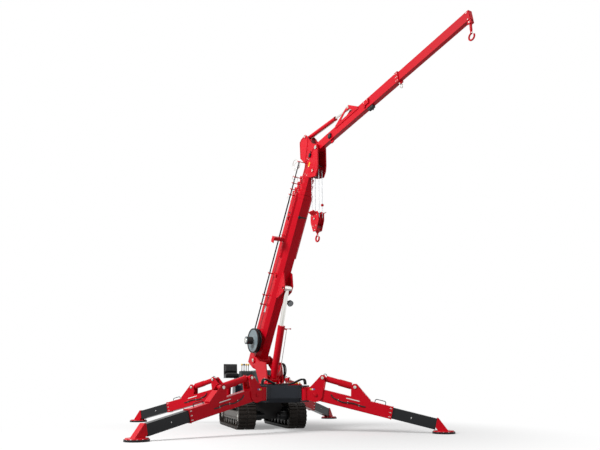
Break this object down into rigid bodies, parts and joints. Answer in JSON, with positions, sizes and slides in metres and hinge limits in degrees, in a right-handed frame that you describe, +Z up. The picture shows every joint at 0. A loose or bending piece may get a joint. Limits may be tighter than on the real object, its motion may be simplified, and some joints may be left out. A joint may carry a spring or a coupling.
{
  "type": "mini crawler crane",
  "caption": "Compact crawler crane standing on its spread outriggers, with a telescopic boom, a hydraulic jib, a hook block and a slewing turret.",
  "frame": {"origin": "the middle of the footprint on the ground, at the soles of the tracks and pads, 1.27 m in front of the slewing axis", "axes": "+Z up along the slewing axis, -Y towards the machine's front, +X to the right of someone looking from the front"},
  "size_m": [6.9384, 11.4812, 7.2747],
  "materials": {
    "red_paint": "glossy crimson red paint",
    "navy_paint": "dark navy paint",
    "grey_paint": "grey paint, dusty",
    "frame_paint": "beige-grey paint with dust",
    "black_paint": "black paint",
    "cover_paint": "dark grey paint",
    "track_shoe": "dark rubber shoes, dusty",
    "chrome_rod": "polished chrome",
    "steel_rope": "laid steel wire",
    "dark_steel": "dark cast steel",
    "reel_grey": "light grey with black rim",
    "black_plastic": "black plastic",
    "seat_vinyl": "black vinyl"
  },
  "bodies": {
    "base": {"undercarriage": "grey_paint", "side_frame_left": "frame_paint", "side_frame_right": "frame_paint", "track_left": "track_shoe", "track_right": "track_shoe", "chassis": "navy_paint", "slew_ring": "grey_paint", "engine_cover": "cover_paint", "console": "cover_paint", "levers": "black_plastic", "seat_base": "black_paint", "seat": "seat_vinyl"},
    "turret": {"turret": "red_paint"},
    "boom": {"boom_base": "red_paint"},
    "boom_2": {"boom_section_2": "red_paint"},
    "boom_3": {"boom_section_3": "red_paint"},
    "boom_4": {"boom_section_4": "red_paint"},
    "boom_5": {"boom_head": "red_paint"},
    "sheaves": {"head_sheaves": "dark_steel"},
    "reel": {"cable_reel": "reel_grey"},
    "lift_tube": {"lift_tube": "red_paint"},
    "lift_rod": {"lift_rod": "chrome_rod"},
    "jib": {"jib": "red_paint"},
    "jib_inner": {"jib_extension": "red_paint"},
    "jib_tube": {"jib_cylinder_tube": "red_paint"},
    "jib_rod": {"jib_cylinder_rod": "chrome_rod"},
    "block": {"rope_falls": "steel_rope", "hook_block": "red_paint"},
    "hook": {"main_hook": "red_paint"},
    "tip_hook": {"searcher_hook": "red_paint"},
    "front_left_post": {"outrigger_post_front_left": "red_paint"},
    "front_left_arm": {"outrigger_arm_front_left": "red_paint"},
    "front_left_inner": {"outrigger_inner_front_left": "black_paint", "outrigger_foot_front_left": "red_paint"},
    "front_left_tube": {"outrigger_tube_front_left": "red_paint"},
    "front_left_rod": {"outrigger_rod_front_left": "red_paint"},
    "front_right_post": {"outrigger_post_front_right": "red_paint"},
    "front_right_arm": {"outrigger_arm_front_right": "red_paint"},
    "front_right_inner": {"outrigger_inner_front_right": "black_paint", "outrigger_foot_front_right": "red_paint"},
    "front_right_tube": {"outrigger_tube_front_right": "red_paint"},
    "front_right_rod": {"outrigger_rod_front_right": "red_paint"},
    "rear_left_post": {"outrigger_post_rear_left": "red_paint"},
    "rear_left_arm": {"outrigger_arm_rear_left": "red_paint"},
    "rear_left_inner": {"outrigger_inner_rear_left": "black_paint", "outrigger_foot_rear_left": "red_paint"},
    "rear_left_tube": {"outrigger_tube_rear_left": "red_paint"},
    "rear_left_rod": {"outrigger_rod_rear_left": "red_paint"},
    "rear_right_post": {"outrigger_post_rear_right": "red_paint"},
    "rear_right_arm": {"outrigger_arm_rear_right": "red_paint"},
    "rear_right_inner": {"outrigger_inner_rear_right": "black_paint", "outrigger_foot_rear_right": "red_paint"},
    "rear_right_tube": {"outrigger_tube_rear_right": "red_paint"},
    "rear_right_rod": {"outrigger_rod_rear_right": "red_paint"}
  },
  "joints": [
    {"name": "slew", "type": "hinge", "parent": "base", "child": "turret", "pos_m": [0, 1.26964, 1.05], "axis": [0, 0, 1], "continuous": true},
    {"name": "boom_luff", "type": "hinge", "parent": "turret", "child": "boom", "pos_m": [-0.13465, 1.80972, 1.6341], "axis": [-0.9703, -0.2419, 0], "range_deg": [-59.5, 18.5]},
    {"name": "lift_tube_swing", "type": "hinge", "parent": "turret", "child": "lift_tube", "pos_m": [0.01693, 1.20172, 1.15], "axis": [-0.9703, -0.2419, 0], "range_deg": [-60, 19]},
    {"name": "lift_rod_slide", "type": "slide", "parent": "lift_tube", "child": "lift_rod", "axis": [0.073, -0.2926, 0.9534], "range_m": [-0.7942, 0.2504]},
    {"name": "boom_slide_2", "type": "slide", "parent": "boom", "child": "boom_2", "axis": [0.1228, -0.4925, 0.8616], "range_m": [0, 3.45]},
    {"name": "boom_slide_3", "type": "slide", "parent": "boom_2", "child": "boom_3", "axis": [0.1228, -0.4925, 0.8616], "range_m": [0, 3.45]},
    {"name": "boom_slide_4", "type": "slide", "parent": "boom_3", "child": "boom_4", "axis": [0.1228, -0.4925, 0.8616], "range_m": [0, 3.45]},
    {"name": "boom_slide_5", "type": "slide", "parent": "boom_4", "child": "boom_5", "axis": [0.1228, -0.4925, 0.8616], "range_m": [0, 3.45]},
    {"name": "reel_turn", "type": "hinge", "parent": "boom", "child": "reel", "pos_m": [-0.10073, 1.67366, 2.10858], "axis": [-0.9703, -0.2419, 0], "continuous": true},
    {"name": "sheave_turn", "type": "hinge", "parent": "boom_5", "child": "sheaves", "pos_m": [0.52047, -0.81786, 5.87673], "axis": [-0.9703, -0.2419, 0], "continuous": true},
    {"name": "jib_luff", "type": "hinge", "parent": "boom_5", "child": "jib", "pos_m": [0.55574, -0.95931, 6.40597], "axis": [0.9703, 0.2419, 0], "range_deg": [-50.9, 9.1]},
    {"name": "jib_tube_swing", "type": "hinge", "parent": "boom_5", "child": "jib_tube", "pos_m": [0.4383, -0.48827, 6.84281], "axis": [0.9703, 0.2419, 0], "range_deg": [-42.24, 7.96]},
    {"name": "jib_rod_slide", "type": "slide", "parent": "jib_tube", "child": "jib_rod", "axis": [0.2416, -0.9692, 0.0477], "range_m": [-0.5172, 0.0966]},
    {"name": "jib_extend", "type": "slide", "parent": "jib", "child": "jib_inner", "axis": [0.2392, -0.9594, 0.1495], "range_m": [-1.3, 0.9]},
    {"name": "tip_hook_swing", "type": "hinge", "parent": "jib_inner", "child": "tip_hook", "pos_m": [1.72887, -5.66449, 7.04327], "axis": [-0.9703, -0.2419, 0], "range_deg": [-60, 60]},
    {"name": "block_swing", "type": "hinge", "parent": "boom_5", "child": "block", "pos_m": [0.52047, -0.81786, 5.87673], "axis": [-0.9703, -0.2419, 0], "range_deg": [-20, 61]},
    {"name": "hook_turn", "type": "hinge", "parent": "block", "child": "hook", "pos_m": [0.52047, -0.81786, 4.42673], "axis": [0, 0, 1], "continuous": true},
    {"name": "front_left_swivel", "type": "hinge", "parent": "base", "child": "front_left_post", "pos_m": [-0.5, 0.12965, 0.83], "axis": [0, 0, 1], "range_deg": [-26.5, 38.5]},
    {"name": "front_left_lift", "type": "hinge", "parent": "front_left_post", "child": "front_left_arm", "pos_m": [-0.72373, 0.0181, 0.815], "axis": [-0.4462, 0.8949, 0], "range_deg": [0, 50]},
    {"name": "front_left_extend", "type": "slide", "parent": "front_left_arm", "child": "front_left_inner", "axis": [-0.8702, -0.4339, -0.2334], "range_m": [-0.85, 0]},
    {"name": "front_left_tube_swing", "type": "hinge", "parent": "front_left_post", "child": "front_left_tube", "pos_m": [-0.87587, -0.05776, 1.18], "axis": [-0.4462, 0.8949, 0], "range_deg": [-0.5, 72.9]},
    {"name": "front_left_rod_slide", "type": "slide", "parent": "front_left_tube", "child": "front_left_rod", "axis": [-0.8616, -0.4296, -0.2704], "range_m": [-0.245, 0.002]},
    {"name": "front_right_swivel", "type": "hinge", "parent": "base", "child": "front_right_post", "pos_m": [0.5, 0.12965, 0.83], "axis": [0, 0, -1], "range_deg": [-26.5, 38.5]},
    {"name": "front_right_lift", "type": "hinge", "parent": "front_right_post", "child": "front_right_arm", "pos_m": [0.72373, 0.0181, 0.815], "axis": [-0.4462, -0.8949, 0], "range_deg": [0, 50]},
    {"name": "front_right_extend", "type": "slide", "parent": "front_right_arm", "child": "front_right_inner", "axis": [0.8702, -0.4339, -0.2334], "range_m": [-0.85, 0]},
    {"name": "front_right_tube_swing", "type": "hinge", "parent": "front_right_post", "child": "front_right_tube", "pos_m": [0.87587, -0.05776, 1.18], "axis": [-0.4462, -0.8949, 0], "range_deg": [-0.5, 72.9]},
    {"name": "front_right_rod_slide", "type": "slide", "parent": "front_right_tube", "child": "front_right_rod", "axis": [0.8616, -0.4296, -0.2704], "range_m": [-0.245, 0.002]},
    {"name": "rear_left_swivel", "type": "hinge", "parent": "base", "child": "rear_left_post", "pos_m": [-0.7, 3.41965, 0.83], "axis": [0, 0, -1], "range_deg": [-43, 17]},
    {"name": "rear_left_lift", "type": "hinge", "parent": "rear_left_post", "child": "rear_left_arm", "pos_m": [-0.88284, 3.59015, 0.815], "axis": [0.682, 0.7314, 0], "range_deg": [0, 50]},
    {"name": "rear_left_extend", "type": "slide", "parent": "rear_left_arm", "child": "rear_left_inner", "axis": [-0.7111, 0.6632, -0.2334], "range_m": [-0.85, 0]},
    {"name": "rear_left_tube_swing", "type": "hinge", "parent": "rear_left_post", "child": "rear_left_tube", "pos_m": [-1.00717, 3.70608, 1.18], "axis": [0.682, 0.7314, 0], "range_deg": [-0.5, 72.9]},
    {"name": "rear_left_rod_slide", "type": "slide", "parent": "rear_left_tube", "child": "rear_left_rod", "axis": [-0.7041, 0.6566, -0.2704], "range_m": [-0.245, 0.002]},
    {"name": "rear_right_swivel", "type": "hinge", "parent": "base", "child": "rear_right_post", "pos_m": [0.7, 3.41965, 0.83], "axis": [0, 0, 1], "range_deg": [-43, 17]},
    {"name": "rear_right_lift", "type": "hinge", "parent": "rear_right_post", "child": "rear_right_arm", "pos_m": [0.88284, 3.59015, 0.815], "axis": [0.682, -0.7314, 0], "range_deg": [0, 50]},
    {"name": "rear_right_extend", "type": "slide", "parent": "rear_right_arm", "child": "rear_right_inner", "axis": [0.7111, 0.6632, -0.2334], "range_m": [-0.85, 0]},
    {"name": "rear_right_tube_swing", "type": "hinge", "parent": "rear_right_post", "child": "rear_right_tube", "pos_m": [1.00717, 3.70608, 1.18], "axis": [0.682, -0.7314, 0], "range_deg": [-0.5, 72.9]},
    {"name": "rear_right_rod_slide", "type": "slide", "parent": "rear_right_tube", "child": "rear_right_rod", "axis": [0.7041, 0.6566, -0.2704], "range_m": [-0.245, 0.002]}
  ],
  "couplings": [
    {"joint": "lift_tube_swing", "follows": "boom_luff", "ratio": 1},
    {"joint": "lift_rod_slide", "follows": "boom_luff", "m_per_rad": 0.76},
    {"joint": "boom_slide_3", "follows": "boom_slide_2", "ratio": 1},
    {"joint": "boom_slide_4", "follows": "boom_slide_2", "ratio": 1},
    {"joint": "boom_slide_5", "follows": "boom_slide_2", "ratio": 1},
    {"joint": "jib_tube_swing", "follows": "jib_luff", "ratio": 0.82},
    {"joint": "jib_rod_slide", "follows": "jib_luff", "m_per_rad": 0.5766},
    {"joint": "block_swing", "follows": "boom_luff", "ratio": -1},
    {"joint": "front_left_tube_swing", "follows": "front_left_lift", "ratio": 1.446},
    {"joint": "front_left_rod_slide", "follows": "front_left_lift", "m_per_rad": -0.274},
    {"joint": "front_right_tube_swing", "follows": "front_right_lift", "ratio": 1.446},
    {"joint": "front_right_rod_slide", "follows": "front_right_lift", "m_per_rad": -0.274},
    {"joint": "rear_left_tube_swing", "follows": "rear_left_lift", "ratio": 1.446},
    {"joint": "rear_left_rod_slide", "follows": "rear_left_lift", "m_per_rad": -0.274},
    {"joint": "rear_right_tube_swing", "follows": "rear_right_lift", "ratio": 1.446},
    {"joint": "rear_right_rod_slide", "follows": "rear_right_lift", "m_per_rad": -0.274}
  ]
}
